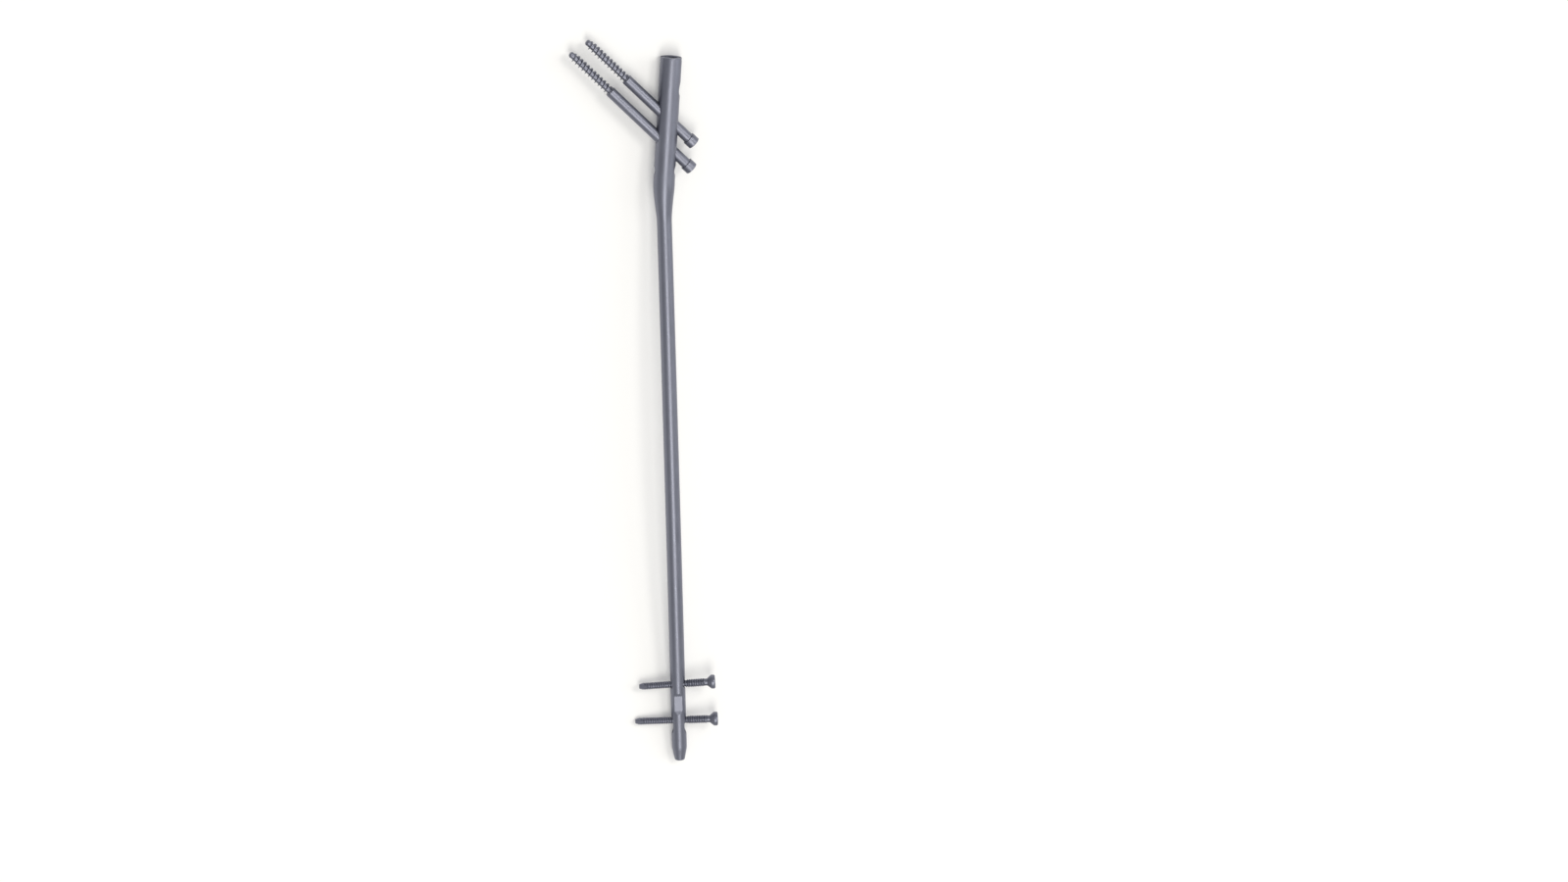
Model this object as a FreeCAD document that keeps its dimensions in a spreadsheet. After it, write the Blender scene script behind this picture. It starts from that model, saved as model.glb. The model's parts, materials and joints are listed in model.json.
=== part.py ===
"""A femoral reconstruction nail with its two hip screws and two locking screws, in millimetres.

The nail is a cannulated titanium rod: a thick straight head, a small sideways bend, a shaft bowed
to the thigh bone, and a tapered tip. It lies as it rests on a table, front side up, on the back of
its head, its tip and the point of one locking screw. The origin is the middle of the nail's top
face, +Y runs up the nail, +X is the outer side of the leg and +Z the front.
"""

import FreeCAD, Part
import math
import os

import Sketcher

SIZES = [
    ("nail_length", 440.0, "nail, top face to tip along its axis"),
    ("head_diameter", 13.0, "nail head, outside"),
    ("shaft_diameter", 9.0, "nail shaft, outside"),
    ("head_edge", 0.5, "chamfer round the top face"),
    ("bend_start", 71.0, "top face to the start of the sideways bend"),
    ("bend_radius", 250.0, "sideways bend, radius of the axis"),
    ("bend_angle", 5.0, "sideways bend, degrees"),
    ("taper_start", 77.0, "top face to where the head starts to narrow"),
    ("taper_length", 24.0, "head down to shaft"),
    ("taper_blend", 6.0, "length over which each end of the taper is rounded"),
    ("bow_radius", 1500.0, "forward bow of the shaft, radius of the axis"),
    ("foot_length", 60.0, "straight stretch at the lower end"),
    ("tip_length", 8.0, "tapered tip"),
    ("tip_diameter", 6.3, "end of the tapered tip"),
    ("tip_edge", 0.7, "chamfer round the tip's end"),
    ("cannula_diameter", 4.0, "guide wire bore through the nail"),
    ("cannula_edge", 0.3, "chamfer where the guide wire bore leaves the tip"),
    ("cap_bore_diameter", 8.5, "threaded bore at the top, inner wall"),
    ("cap_bore_depth", 16.5, "threaded bore at the top"),
    ("cap_bore_edge", 0.5, "chamfer at the mouth of the threaded bore"),
    ("key_width", 3.0, "key slot across the top face"),
    ("key_depth", 2.2, "key slot across the top face"),
    ("hip_upper_level", 37.5, "top face to the upper hip screw on the axis"),
    ("hip_spacing", 12.0, "between the hip screws' axes"),
    ("hip_angle", 49.0, "hip screws to the nail's axis, degrees"),
    ("anteversion_angle", 11.0, "hip screws turned towards the front, degrees"),
    ("hip_clearance", 0.1, "gap between hip screw and hole, all round"),
    ("oblique_level", 25.8, "top face to the oblique hole on the axis"),
    ("oblique_angle", 45.0, "oblique hole to the nail's axis, degrees"),
    ("transverse_level", 69.5, "top face to the transverse hole"),
    ("lock_hole_diameter", 5.3, "holes for locking screws"),
    ("lock_upper_level", 49.1, "tip to the upper locking screw"),
    ("lock_upper_angle", 88.0, "upper locking screw to the nail's axis, degrees"),
    ("lock_mouth_diameter", 7.0, "countersinks of the upper locking hole, at the shaft's outside"),
    ("lock_lower_level", 25.6, "tip to the lower locking screw"),
    ("slot_travel", 5.6, "how far the lower locking screw can move in its slot"),
    ("slot_width", 5.4, "slot of the lower locking screw"),
    ("flat_level", 37.6, "tip to the middle of the milled flat"),
    ("flat_length", 9.7, "milled flat between the locking screws"),
    ("flat_depth", 0.68, "milled flat"),
    ("flat_ramp_angle", 20.0, "run-out at each end of the milled flat, degrees"),
    ("hip_shank_diameter", 6.5, "hip screw shank"),
    ("hip_head_diameter", 8.0, "hip screw head"),
    ("hip_head_length", 4.8, "hip screw head"),
    ("hip_head_edge", 0.35, "chamfer at the end of the hip screw head"),
    ("hip_upper_length", 87.5, "upper hip screw, under its head to its tip"),
    ("hip_upper_seat", 17.9, "upper hip screw, nail's axis to the underside of its head"),
    ("hip_lower_length", 99.5, "lower hip screw, under its head to its tip"),
    ("hip_lower_seat", 17.2, "lower hip screw, nail's axis to the underside of its head"),
    ("hip_thread_length", 34.2, "hip screw thread with its tip"),
    ("hip_thread_diameter", 5.7, "hip screw thread, outside"),
    ("hip_tip_diameter", 3.5, "hip screw tip, where the thread runs out"),
    ("hip_shoulder", 0.35, "chamfer where the shank ends"),
    ("hip_tip_edge", 0.9, "chamfer at the hip screw tip"),
    ("hip_lead_length", 4.4, "stretch at the tip over which the thread runs out"),
    ("hip_socket_width", 4.5, "hexagon socket, across its flats"),
    ("hip_socket_depth", 3.4, "hexagon socket"),
    ("lock_diameter", 5.0, "locking screw, thread on the head's side"),
    ("lock_point_diameter", 4.4, "locking screw, thread on the point's side"),
    ("lock_step_start", 5.0, "nail's axis to where the locking screw gets thicker"),
    ("lock_step_length", 1.5, "locking screw, from the thinner to the thicker stretch"),
    ("lock_neck_diameter", 4.3, "locking screw, neck under the head"),
    ("lock_neck_length", 1.6, "locking screw, neck under the head"),
    ("lock_head_diameter", 8.5, "locking screw head"),
    ("lock_head_length", 4.7, "locking screw head"),
    ("lock_cone_length", 2.3, "tapered underside of the locking screw head"),
    ("lock_head_edge", 0.7, "chamfer round the locking screw head"),
    ("lock_tip_length", 2.4, "tapered tip of the locking screw"),
    ("lock_tip_diameter", 2.6, "end of the locking screw"),
    ("lock_flute_length", 5.0, "cutting flutes at the locking screw tip"),
    ("lock_flute_width", 1.5, "cutting flutes at the locking screw tip"),
    ("lock_flute_floor", 1.25, "axis to the bottom of a cutting flute"),
    ("lock_socket_width", 3.5, "hexagon socket, across its flats"),
    ("lock_socket_depth", 2.8, "hexagon socket"),
    ("lock_upper_reach", 23.4, "upper locking screw, nail's axis to its tip"),
    ("lock_upper_back", 22.7, "upper locking screw, nail's axis to the end of its head"),
    ("lock_lower_reach", 26.3, "lower locking screw, nail's axis to its tip"),
    ("lock_lower_back", 23.7, "lower locking screw, nail's axis to the end of its head"),
    ("rest_pitch_angle", 3.91, "nail's head lower than level, degrees, as it rests"),
    ("rest_roll_angle", 10.44, "nail rolled onto the inner side, degrees, as it rests"),
]

CUT_MARGIN = 2.0
TAPER_SECTIONS = 6
FLUTES = 3
FULL_TURN = 360

Vector = FreeCAD.Vector
Placement = FreeCAD.Placement
Rotation = FreeCAD.Rotation

ACROSS = Vector(1, 0, 0)
BACK = Vector(0, 1, 0)
ALONG = Vector(0, 0, 1)
HERE = Vector(0, 0, 0)
STAY = Rotation()

document = FreeCAD.newDocument("nail")
sheet = document.addObject("Spreadsheet::Sheet", "Sizes")
for row, (alias, number, meaning) in enumerate(SIZES, start=1):
    sheet.set("A%d" % row, meaning)
    sheet.set("B%d" % row, str(number))
    sheet.setAlias("B%d" % row, alias)
document.recompute()


def size(alias):
    """The number that the sheet holds for a size."""
    return float(getattr(sheet, alias))


def move(x, y, z):
    return Placement(Vector(x, y, z), STAY)


def turn(axis, degrees):
    return Placement(HERE, Rotation(axis, degrees))


def turn_about(centre, axis, degrees):
    """Carries a frame round an axis through a centre that is given in that frame."""
    return Placement(centre, STAY) * turn(axis, degrees) * Placement(centre * -1, STAY)


def bend_length():
    return size("bend_radius") * math.radians(size("bend_angle"))


def bow_start():
    return size("bend_start") + bend_length()


def foot_start():
    return size("nail_length") - size("foot_length")


def bow_angle(distance):
    """How far the bow has turned, in degrees, this far from the top face."""
    length = min(max(distance - bow_start(), 0), foot_start() - bow_start())
    return math.degrees(length / size("bow_radius"))


def nail_axis(distance):
    """The nail's axis at this distance from its top face: Z up the nail, X outwards, Y to the back."""
    straight = min(distance, size("bend_start"))
    bent = min(max(distance - size("bend_start"), 0), bend_length())
    foot = max(distance - foot_start(), 0)
    side_turn = -math.degrees(bent / size("bend_radius"))
    side_centre = Vector(size("bend_radius"), 0, 0)
    back_centre = Vector(0, size("bow_radius"), 0)
    place = move(0, 0, -straight) * turn_about(side_centre, BACK, side_turn)
    place = place * turn_about(back_centre, ACROSS, bow_angle(distance))
    return place * move(0, 0, -foot)


def from_tip(distance):
    return nail_axis(size("nail_length") - distance)


UPRIGHT = turn(ACROSS, 90)
SIDEWAYS = turn(BACK, 90)


def side_view():
    """A sketch frame with X up the nail and Y to the front."""
    return Placement(HERE, Rotation(ALONG, BACK * -1, ACROSS, "ZXY"))


def hip_axis(level):
    """The axis of a hip screw: its origin on the nail's axis, its Z towards the tip of the screw."""
    return nail_axis(level) * turn(ALONG, size("anteversion_angle")) * turn(BACK, -size("hip_angle"))


def hip_lower_level():
    return size("hip_upper_level") + size("hip_spacing") / math.sin(math.radians(size("hip_angle")))


def oblique_axis():
    return nail_axis(size("oblique_level")) * turn(BACK, size("oblique_angle"))


def transverse_axis():
    """The transverse hole is square to the shaft below the bend, and not to the head."""
    level = nail_axis(size("transverse_level"))
    below = nail_axis(bow_start()).Rotation
    return Placement(level.Base, below) * SIDEWAYS


def lock_upper_axis():
    return from_tip(size("lock_upper_level")) * turn(BACK, size("lock_upper_angle"))


def lock_lower_axis():
    return from_tip(size("lock_lower_level")) * SIDEWAYS


def resting():
    """Turns the nail from upright to lying, front side up, as it comes to rest."""
    lying = turn(ACROSS, -90)
    rolled = turn(BACK, -size("rest_roll_angle"))
    return turn(ACROSS, -size("rest_pitch_angle")) * rolled * lying


class Sketch:
    """A sketch in a body's own frame, its points held at formulas of the sheet's sizes."""

    def __init__(self, body, name, place):
        self.item = body.newObject("Sketcher::SketchObject", name)
        planes = body.Origin.OriginFeatures
        ground = [plane for plane in planes if plane.Role == "XY_Plane"][0]
        self.item.AttachmentSupport = [(ground, "")]
        self.item.MapMode = "FlatFace"
        self.item.AttachmentOffset = place

    def bind(self, constraint, formula):
        """Adds a constraint and ties its number to a formula."""
        index = self.item.addConstraint(constraint)
        self.item.setExpression("Constraints[%d]" % index, formula)

    def hold(self, shape, point, across, up):
        """Holds one point of a shape at two formulas, measured from the sketch's origin."""
        self.bind(Sketcher.Constraint("DistanceX", -1, 1, shape, point, 1.0), across)
        self.bind(Sketcher.Constraint("DistanceY", -1, 1, shape, point, 1.0), up)

    def outline(self, corners):
        """A closed outline of straight sides through corners, each a pair of formulas."""
        count = len(corners)
        spread = [2 * math.pi * i / count for i in range(count)]
        points = [Vector(math.cos(angle), math.sin(angle), 0) for angle in spread]
        first = self.item.GeometryCount
        for start, end in zip(points, points[1:] + points[:1]):
            self.item.addGeometry(Part.LineSegment(start, end), False)
        for i in range(count):
            self.item.addConstraint(
                Sketcher.Constraint("Coincident", first + i, 2, first + (i + 1) % count, 1)
            )
        for i, (across, up) in enumerate(corners):
            self.hold(first + i, 1, across, up)

    def circle(self, diameter, across="0", up="0"):
        shape = self.item.addGeometry(Part.Circle(HERE, ALONG, 1.0), False)
        self.hold(shape, 3, across, up)
        self.bind(Sketcher.Constraint("Radius", shape, 1.0), "(%s) / 2" % diameter)

    def slot(self, width, travel):
        """A round-ended slot from the origin along X, its ends' centres a travel apart."""
        radius = size(width) / 2
        far = size(travel)
        near_end = Part.ArcOfCircle(Part.Circle(HERE, ALONG, radius), math.pi / 2, 3 * math.pi / 2)
        far_circle = Part.Circle(Vector(far, 0, 0), ALONG, radius)
        far_end = Part.ArcOfCircle(far_circle, -math.pi / 2, math.pi / 2)
        low_side = Part.LineSegment(Vector(0, -radius, 0), Vector(far, -radius, 0))
        high_side = Part.LineSegment(Vector(far, radius, 0), Vector(0, radius, 0))
        for shape in (near_end, low_side, far_end, high_side):
            self.item.addGeometry(shape, False)
        for before, after in ((0, 1), (1, 2), (2, 3), (3, 0)):
            self.item.addConstraint(Sketcher.Constraint("Tangent", before, 2, after, 1))
        self.item.addConstraint(Sketcher.Constraint("Horizontal", 1))
        self.hold(0, 3, "0", "0")
        self.bind(Sketcher.Constraint("DistanceX", -1, 1, 2, 3, 1.0), "Sizes." + travel)
        self.bind(Sketcher.Constraint("Radius", 0, 1.0), "Sizes.%s / 2" % width)

    def axis_line(self, start, end):
        """A construction line between two pairs of formulas, to turn a profile about."""
        shape = self.item.addGeometry(Part.LineSegment(HERE, Vector(1, 1, 0)), True)
        self.hold(shape, 1, *start)
        self.hold(shape, 2, *end)


def feature(body, kind, name, sketch):
    """A feature of a body that works from a sketch."""
    made = body.newObject("PartDesign::" + kind, name)
    made.Profile = sketch.item
    return made


def turned(body, kind, name, sketch, axis, angle):
    """Turns a profile about one of its own axes: a Revolution adds, a Groove takes away."""
    made = feature(body, kind, name, sketch)
    made.ReferenceAxis = (sketch.item, [axis])
    made.Angle = angle
    document.recompute()
    return made


def drilled(body, name, sketch, length, midplane=False):
    """Cuts a sketch's outline out of a body, for a length given as a formula."""
    made = feature(body, "Pocket", name, sketch)
    made.Type = "Length"
    made.SideType = "Symmetric" if midplane else "One side"
    made.setExpression("Length", length)
    document.recompute()
    return made


def new_body(name):
    body = document.addObject("PartDesign::Body", name)
    body.Label = name
    return body


def taper_radius(distance):
    """The nail's radius along its head and taper, with the taper's ends rounded over a blend."""
    head = size("head_diameter") / 2
    shaft = size("shaft_diameter") / 2
    blend = size("taper_blend")
    length = size("taper_length")
    along = min(max(distance - size("taper_start"), 0), length)
    slope = (head - shaft) / (length - blend)
    into = min(along, blend)
    out = max(along - (length - blend), 0)
    middle = min(max(along - blend, 0), length - 2 * blend)
    fall = slope * (into**2 / (2 * blend) + middle + out - out**2 / (2 * blend))
    return head - fall


def nail_outside(nail):
    """Head, bend with its taper, bowed shaft, and foot with its tip, one after the other."""
    head = Sketch(nail, "HeadProfile", UPRIGHT)
    radius = "Sizes.head_diameter / 2"
    head.outline(
        [
            ("0", "0"),
            (radius + " - Sizes.head_edge", "0"),
            (radius, "-Sizes.head_edge"),
            (radius, "-Sizes.bend_start"),
            ("0", "-Sizes.bend_start"),
        ]
    )
    turned(nail, "Revolution", "Head", head, "V_Axis", FULL_TURN)

    end = size("taper_start") + size("taper_length")
    step = (end - size("bend_start")) / TAPER_SECTIONS
    sections = []
    for number in range(TAPER_SECTIONS + 1):
        distance = size("bend_start") + number * step
        ring = Sketch(nail, "TaperSection%d" % number, nail_axis(distance))
        outside = Part.Circle(HERE, ALONG, taper_radius(distance))
        ring.item.addGeometry(outside, False)
        sections.append(ring.item)
    taper = nail.newObject("PartDesign::AdditiveLoft", "Taper")
    taper.Profile = sections[0]
    taper.Sections = sections[1:]
    taper.Ruled = False
    document.recompute()

    shaft = Sketch(nail, "ShaftSection", nail_axis(end))
    shaft.circle("Sizes.shaft_diameter")
    shaft.axis_line(("0", "Sizes.bow_radius"), ("Sizes.shaft_diameter", "Sizes.bow_radius"))
    turned(nail, "Revolution", "Shaft", shaft, "Axis0", bow_angle(foot_start()) - bow_angle(end))

    foot = Sketch(nail, "FootProfile", nail_axis(foot_start()) * UPRIGHT)
    foot.outline(
        [
            ("0", "0"),
            ("Sizes.shaft_diameter / 2", "0"),
            ("Sizes.shaft_diameter / 2", "Sizes.tip_length - Sizes.foot_length"),
            ("Sizes.tip_diameter / 2", "Sizes.tip_edge - Sizes.foot_length"),
            ("Sizes.tip_diameter / 2 - Sizes.tip_edge", "-Sizes.foot_length"),
            ("0", "-Sizes.foot_length"),
        ]
    )
    turned(nail, "Revolution", "Foot", foot, "V_Axis", FULL_TURN)


def nail_bores(nail):
    """The threaded bore at the top and the guide wire bore through the whole length."""
    top = Sketch(nail, "TopBoreProfile", UPRIGHT)
    bore = "Sizes.cap_bore_diameter / 2"
    wire = "Sizes.cannula_diameter / 2"
    past_end = "%g" % CUT_MARGIN
    drill_point = "-Sizes.cap_bore_depth - (Sizes.cap_bore_diameter - Sizes.cannula_diameter) / 4"
    top.outline(
        [
            ("0", past_end),
            (bore + " + Sizes.cap_bore_edge + " + past_end, past_end),
            (bore, "-Sizes.cap_bore_edge"),
            (bore, "-Sizes.cap_bore_depth"),
            (wire, drill_point),
            (wire, "-Sizes.bend_start"),
            ("0", "-Sizes.bend_start"),
        ]
    )
    turned(nail, "Groove", "TopBore", top, "V_Axis", FULL_TURN)

    bend = Sketch(nail, "BendBoreSection", nail_axis(size("bend_start")))
    bend.circle("Sizes.cannula_diameter")
    bend.axis_line(("Sizes.bend_radius", "Sizes.shaft_diameter"), ("Sizes.bend_radius", "0"))
    turned(nail, "Groove", "BendBore", bend, "Axis0", size("bend_angle"))

    bow = Sketch(nail, "BowBoreSection", nail_axis(bow_start()))
    bow.circle("Sizes.cannula_diameter")
    bow.axis_line(("0", "Sizes.bow_radius"), ("Sizes.shaft_diameter", "Sizes.bow_radius"))
    turned(nail, "Groove", "BowBore", bow, "Axis0", bow_angle(foot_start()))

    foot = Sketch(nail, "FootBoreProfile", nail_axis(foot_start()) * UPRIGHT)
    foot.outline(
        [
            ("0", "0"),
            (wire, "0"),
            (wire, "Sizes.cannula_edge - Sizes.foot_length"),
            (wire + " + Sizes.cannula_edge + " + past_end, "-Sizes.foot_length - " + past_end),
            ("0", "-Sizes.foot_length - " + past_end),
        ]
    )
    turned(nail, "Groove", "FootBore", foot, "V_Axis", FULL_TURN)


def countersunk(nail, name, axis, hole, mouth):
    """Sinks a cone of 90 degrees into both mouths of a hole across the shaft."""
    shaft = "Sizes.shaft_diameter / 2"
    start = "%s - (Sizes.%s - Sizes.%s) / 2" % (shaft, mouth, hole)
    low = "Sizes.%s / 2" % hole
    high = "Sizes.%s / 2 + %g" % (mouth, CUT_MARGIN)
    past_shaft = "%s + %g" % (shaft, CUT_MARGIN)
    for side, turned_to in (("Outer", axis), ("Inner", axis * turn(ACROSS, 180))):
        cone = Sketch(nail, name + side + "Profile", turned_to * UPRIGHT)
        cone.outline([("0", start), (low, start), (high, past_shaft), ("0", past_shaft)])
        turned(nail, "Groove", name + side, cone, "V_Axis", FULL_TURN)


def drilled_wall_by_wall(nail, name, axis, hole):
    """A hole across the nail as two, one through the wall on each side of the guide wire bore.

    Each wall keeps a round face of its own.
    """
    for side, turned_to in (("Outer", axis), ("Inner", axis * turn(ACROSS, 180))):
        circle = Sketch(nail, name + side + "Sketch", turned_to)
        circle.circle("Sizes." + hole)
        wall = drilled(nail, name + side, circle, "Sizes.head_diameter")
        wall.Refine = False
        document.recompute()


def nail_holes(nail):
    """Two parallel holes for the hip screws, an oblique and a round hole, and a slot."""
    hip = Sketch(nail, "HipHolesSketch", hip_axis(size("hip_upper_level")))
    hip.circle("Sizes.hip_shank_diameter + 2 * Sizes.hip_clearance")
    hip.circle("Sizes.hip_shank_diameter + 2 * Sizes.hip_clearance", "-Sizes.hip_spacing")
    drilled(nail, "HipHoles", hip, "4 * Sizes.head_diameter + 2 * Sizes.hip_spacing", midplane=True)

    oblique = Sketch(nail, "ObliqueHoleSketch", oblique_axis())
    oblique.circle("Sizes.lock_hole_diameter")
    drilled(nail, "ObliqueHole", oblique, "3 * Sizes.head_diameter", midplane=True)

    upper = Sketch(nail, "UpperLockHoleSketch", lock_upper_axis())
    upper.circle("Sizes.lock_hole_diameter")
    drilled(nail, "UpperLockHole", upper, "2 * Sizes.shaft_diameter", midplane=True)
    mouth = "lock_mouth_diameter"
    countersunk(nail, "UpperLockMouth", lock_upper_axis(), "lock_hole_diameter", mouth)

    lower = Sketch(nail, "LowerLockSlotSketch", lock_lower_axis())
    lower.slot("slot_width", "slot_travel")
    drilled(nail, "LowerLockSlot", lower, "2 * Sizes.shaft_diameter", midplane=True)


def nail_flat_and_key(nail):
    """The milled flat between the locking screws, and the key slot across the top face."""
    flat = Sketch(nail, "FlatSketch", from_tip(size("flat_level")) * side_view())
    floor = "Sizes.shaft_diameter / 2 - Sizes.flat_depth"
    open_side = "Sizes.shaft_diameter / 2 + %g" % CUT_MARGIN
    run_out = "(Sizes.flat_depth + %g) / tan(Sizes.flat_ramp_angle * 1 deg)" % CUT_MARGIN
    reach = "(Sizes.flat_length / 2 + %s)" % run_out
    flat.outline(
        [
            ("-Sizes.flat_length / 2", floor),
            ("Sizes.flat_length / 2", floor),
            (reach, open_side),
            ("-" + reach, open_side),
        ]
    )
    drilled(nail, "Flat", flat, "2 * Sizes.shaft_diameter", midplane=True)

    key = Sketch(nail, "KeySlotSketch", SIDEWAYS)
    key.outline(
        [
            ("-%g" % CUT_MARGIN, "-Sizes.key_width / 2"),
            ("Sizes.key_depth", "-Sizes.key_width / 2"),
            ("Sizes.key_depth", "Sizes.key_width / 2"),
            ("-%g" % CUT_MARGIN, "Sizes.key_width / 2"),
        ]
    )
    drilled(nail, "KeySlot", key, "2 * Sizes.head_diameter", midplane=True)


def build_nail():
    nail = new_body("nail")
    nail_outside(nail)
    nail_bores(nail)
    nail_holes(nail)
    nail_flat_and_key(nail)
    drilled_wall_by_wall(nail, "TransverseHole", transverse_axis(), "lock_hole_diameter")
    nail.Placement = resting()
    return nail


def hexagon_socket(body, name, place, width, depth):
    """A hexagon socket cut in from a frame whose Z points out of the head."""
    socket = Sketch(body, name + "Sketch", place)
    corner = "Sizes.%s / sqrt(3)" % width
    side = "Sizes.%s / 2" % width
    socket.outline(
        [
            (corner, "0"),
            (corner + " / 2", side),
            ("-%s / 2" % corner, side),
            ("-" + corner, "0"),
            ("-%s / 2" % corner, "-" + side),
            (corner + " / 2", "-" + side),
        ]
    )
    drilled(body, name, socket, "Sizes." + depth)


def build_hip_screw(name, level, length, seat):
    """A hip screw: hexagon head, shank and threaded stretch, its origin on the nail's axis."""
    body = new_body(name)
    under = "Sizes." + seat
    back = "-%s - Sizes.hip_head_length" % under
    tip = "Sizes.%s - %s" % (length, under)
    shank_end = "%s - Sizes.hip_thread_length" % tip
    shoulder_start = shank_end + " - Sizes.hip_shoulder"
    shoulder_drop = "(Sizes.hip_shank_diameter - Sizes.hip_thread_diameter) / 2"
    head = "Sizes.hip_head_diameter / 2"
    shank = "Sizes.hip_shank_diameter / 2"
    thread = "Sizes.hip_thread_diameter / 2"
    point = "Sizes.hip_tip_diameter / 2"
    profile = Sketch(body, "ScrewProfile", UPRIGHT)
    profile.outline(
        [
            ("0", back),
            (head + " - Sizes.hip_head_edge", back),
            (head, back + " + Sizes.hip_head_edge"),
            (head, "-" + under),
            (shank, "-" + under),
            (shank, shoulder_start),
            (thread, shoulder_start + " + " + shoulder_drop),
            (thread, tip + " - Sizes.hip_lead_length"),
            (point, tip + " - Sizes.hip_tip_edge"),
            (point + " - Sizes.hip_tip_edge", tip),
            ("0", tip),
        ]
    )
    turned(body, "Revolution", "Screw", profile, "V_Axis", FULL_TURN)
    head_end = -size(seat) - size("hip_head_length")
    out_of_head = move(0, 0, head_end) * turn(ACROSS, 180)
    hexagon_socket(body, "Socket", out_of_head, "hip_socket_width", "hip_socket_depth")
    body.Placement = resting() * hip_axis(level)
    return body


def lock_flutes(body, reach):
    """Cutting flutes at the point, evenly round it."""
    point = move(0, 0, -size(reach)) * turn(ACROSS, 180)
    flute = Sketch(body, "FluteSketch", point)
    side = "Sizes.lock_flute_width"
    flute.outline(
        [
            ("Sizes.lock_flute_floor", "0"),
            ("Sizes.lock_diameter", "0"),
            ("Sizes.lock_diameter", side),
            ("Sizes.lock_flute_floor", side),
        ]
    )
    cut = drilled(body, "Flute", flute, "Sizes.lock_flute_length")
    pattern = body.newObject("PartDesign::PolarPattern", "Flutes")
    pattern.Originals = [cut]
    pattern.Axis = (flute.item, ["N_Axis"])
    pattern.Angle = FULL_TURN
    pattern.Occurrences = FLUTES
    body.Tip = pattern
    document.recompute()


def build_lock_screw(name, axis, reach, back):
    """A locking screw: low cone head with a hexagon socket, neck, body and fluted point."""
    body = new_body(name)
    point = "-Sizes." + reach
    end = "Sizes." + back
    head_start = end + " - Sizes.lock_head_length"
    neck_start = head_start + " - Sizes.lock_neck_length"
    slim = "Sizes.lock_point_diameter / 2"
    full = "Sizes.lock_diameter / 2"
    neck = "Sizes.lock_neck_diameter / 2"
    head = "Sizes.lock_head_diameter / 2"
    profile = Sketch(body, "ScrewProfile", UPRIGHT)
    profile.outline(
        [
            ("0", point),
            ("Sizes.lock_tip_diameter / 2", point),
            (slim, point + " + Sizes.lock_tip_length"),
            (slim, "Sizes.lock_step_start"),
            (full, "Sizes.lock_step_start + Sizes.lock_step_length"),
            (full, neck_start + " - (Sizes.lock_diameter - Sizes.lock_neck_diameter) / 2"),
            (neck, neck_start),
            (neck, head_start),
            (head, head_start + " + Sizes.lock_cone_length"),
            (head, end + " - Sizes.lock_head_edge"),
            (head + " - Sizes.lock_head_edge", end),
            ("0", end),
        ]
    )
    turned(body, "Revolution", "Screw", profile, "V_Axis", FULL_TURN)
    lock_flutes(body, reach)
    out_of_head = move(0, 0, size(back))
    hexagon_socket(body, "Socket", out_of_head, "lock_socket_width", "lock_socket_depth")
    body.Placement = resting() * axis
    return body


UPPER = size("hip_upper_level")
LOWER = hip_lower_level()
pieces = [
    build_nail(),
    build_hip_screw("recon_screw_upper", UPPER, "hip_upper_length", "hip_upper_seat"),
    build_hip_screw("recon_screw_lower", LOWER, "hip_lower_length", "hip_lower_seat"),
    build_lock_screw("distal_screw_upper", lock_upper_axis(), "lock_upper_reach", "lock_upper_back"),
    build_lock_screw("distal_screw_lower", lock_lower_axis(), "lock_lower_reach", "lock_lower_back"),
]
document.recompute()

for item in document.Objects:
    faults = [state for state in item.State if state in ("Invalid", "Error")]
    if faults:
        raise RuntimeError("%s is %s" % (item.Name, faults))

os.makedirs("parts", exist_ok=True)
for piece in pieces:
    shape = piece.Shape
    if shape.isNull() or not shape.isValid() or len(shape.Solids) != 1:
        raise RuntimeError("%s has no single sound solid" % piece.Label)
    shape.exportStep(os.path.join("parts", piece.Label + ".step"))
    print(piece.Label, "volume", round(shape.Volume, 1))
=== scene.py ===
"""The looks of a femoral reconstruction nail and its four screws, all of blasted, grey titanium.

Every length is in metres. The nail's own frame has its origin in the middle of the top face, Z up
the nail, X to the outer side of the leg and Y to the back. A piece is modelled in the frame of its
own axis and then placed by the same formulas that place the packed parts.
"""

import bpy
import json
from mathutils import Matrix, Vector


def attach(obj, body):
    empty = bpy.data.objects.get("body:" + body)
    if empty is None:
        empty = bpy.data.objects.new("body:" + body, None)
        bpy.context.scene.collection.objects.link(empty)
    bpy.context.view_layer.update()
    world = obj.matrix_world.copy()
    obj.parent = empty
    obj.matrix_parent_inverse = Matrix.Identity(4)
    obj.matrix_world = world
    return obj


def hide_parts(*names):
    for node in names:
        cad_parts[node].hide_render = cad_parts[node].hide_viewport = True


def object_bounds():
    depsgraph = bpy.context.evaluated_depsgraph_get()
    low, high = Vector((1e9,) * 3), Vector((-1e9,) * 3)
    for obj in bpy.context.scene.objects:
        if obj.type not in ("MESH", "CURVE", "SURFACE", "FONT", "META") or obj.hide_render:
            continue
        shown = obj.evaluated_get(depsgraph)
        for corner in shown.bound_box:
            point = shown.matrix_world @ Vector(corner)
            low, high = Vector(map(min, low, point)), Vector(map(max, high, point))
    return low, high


bl_info = {
    "name": "Reconstruction nail",
    "version": (1, 0, 0),
    "blender": (4, 5, 0),
    "location": "View3D > Sidebar > Nail",
    "description": "Models a femoral nail, its hip screws and its locking screws",
    "category": "Object",
}

import json
import math

import bpy
from mathutils import Matrix, Vector

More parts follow.
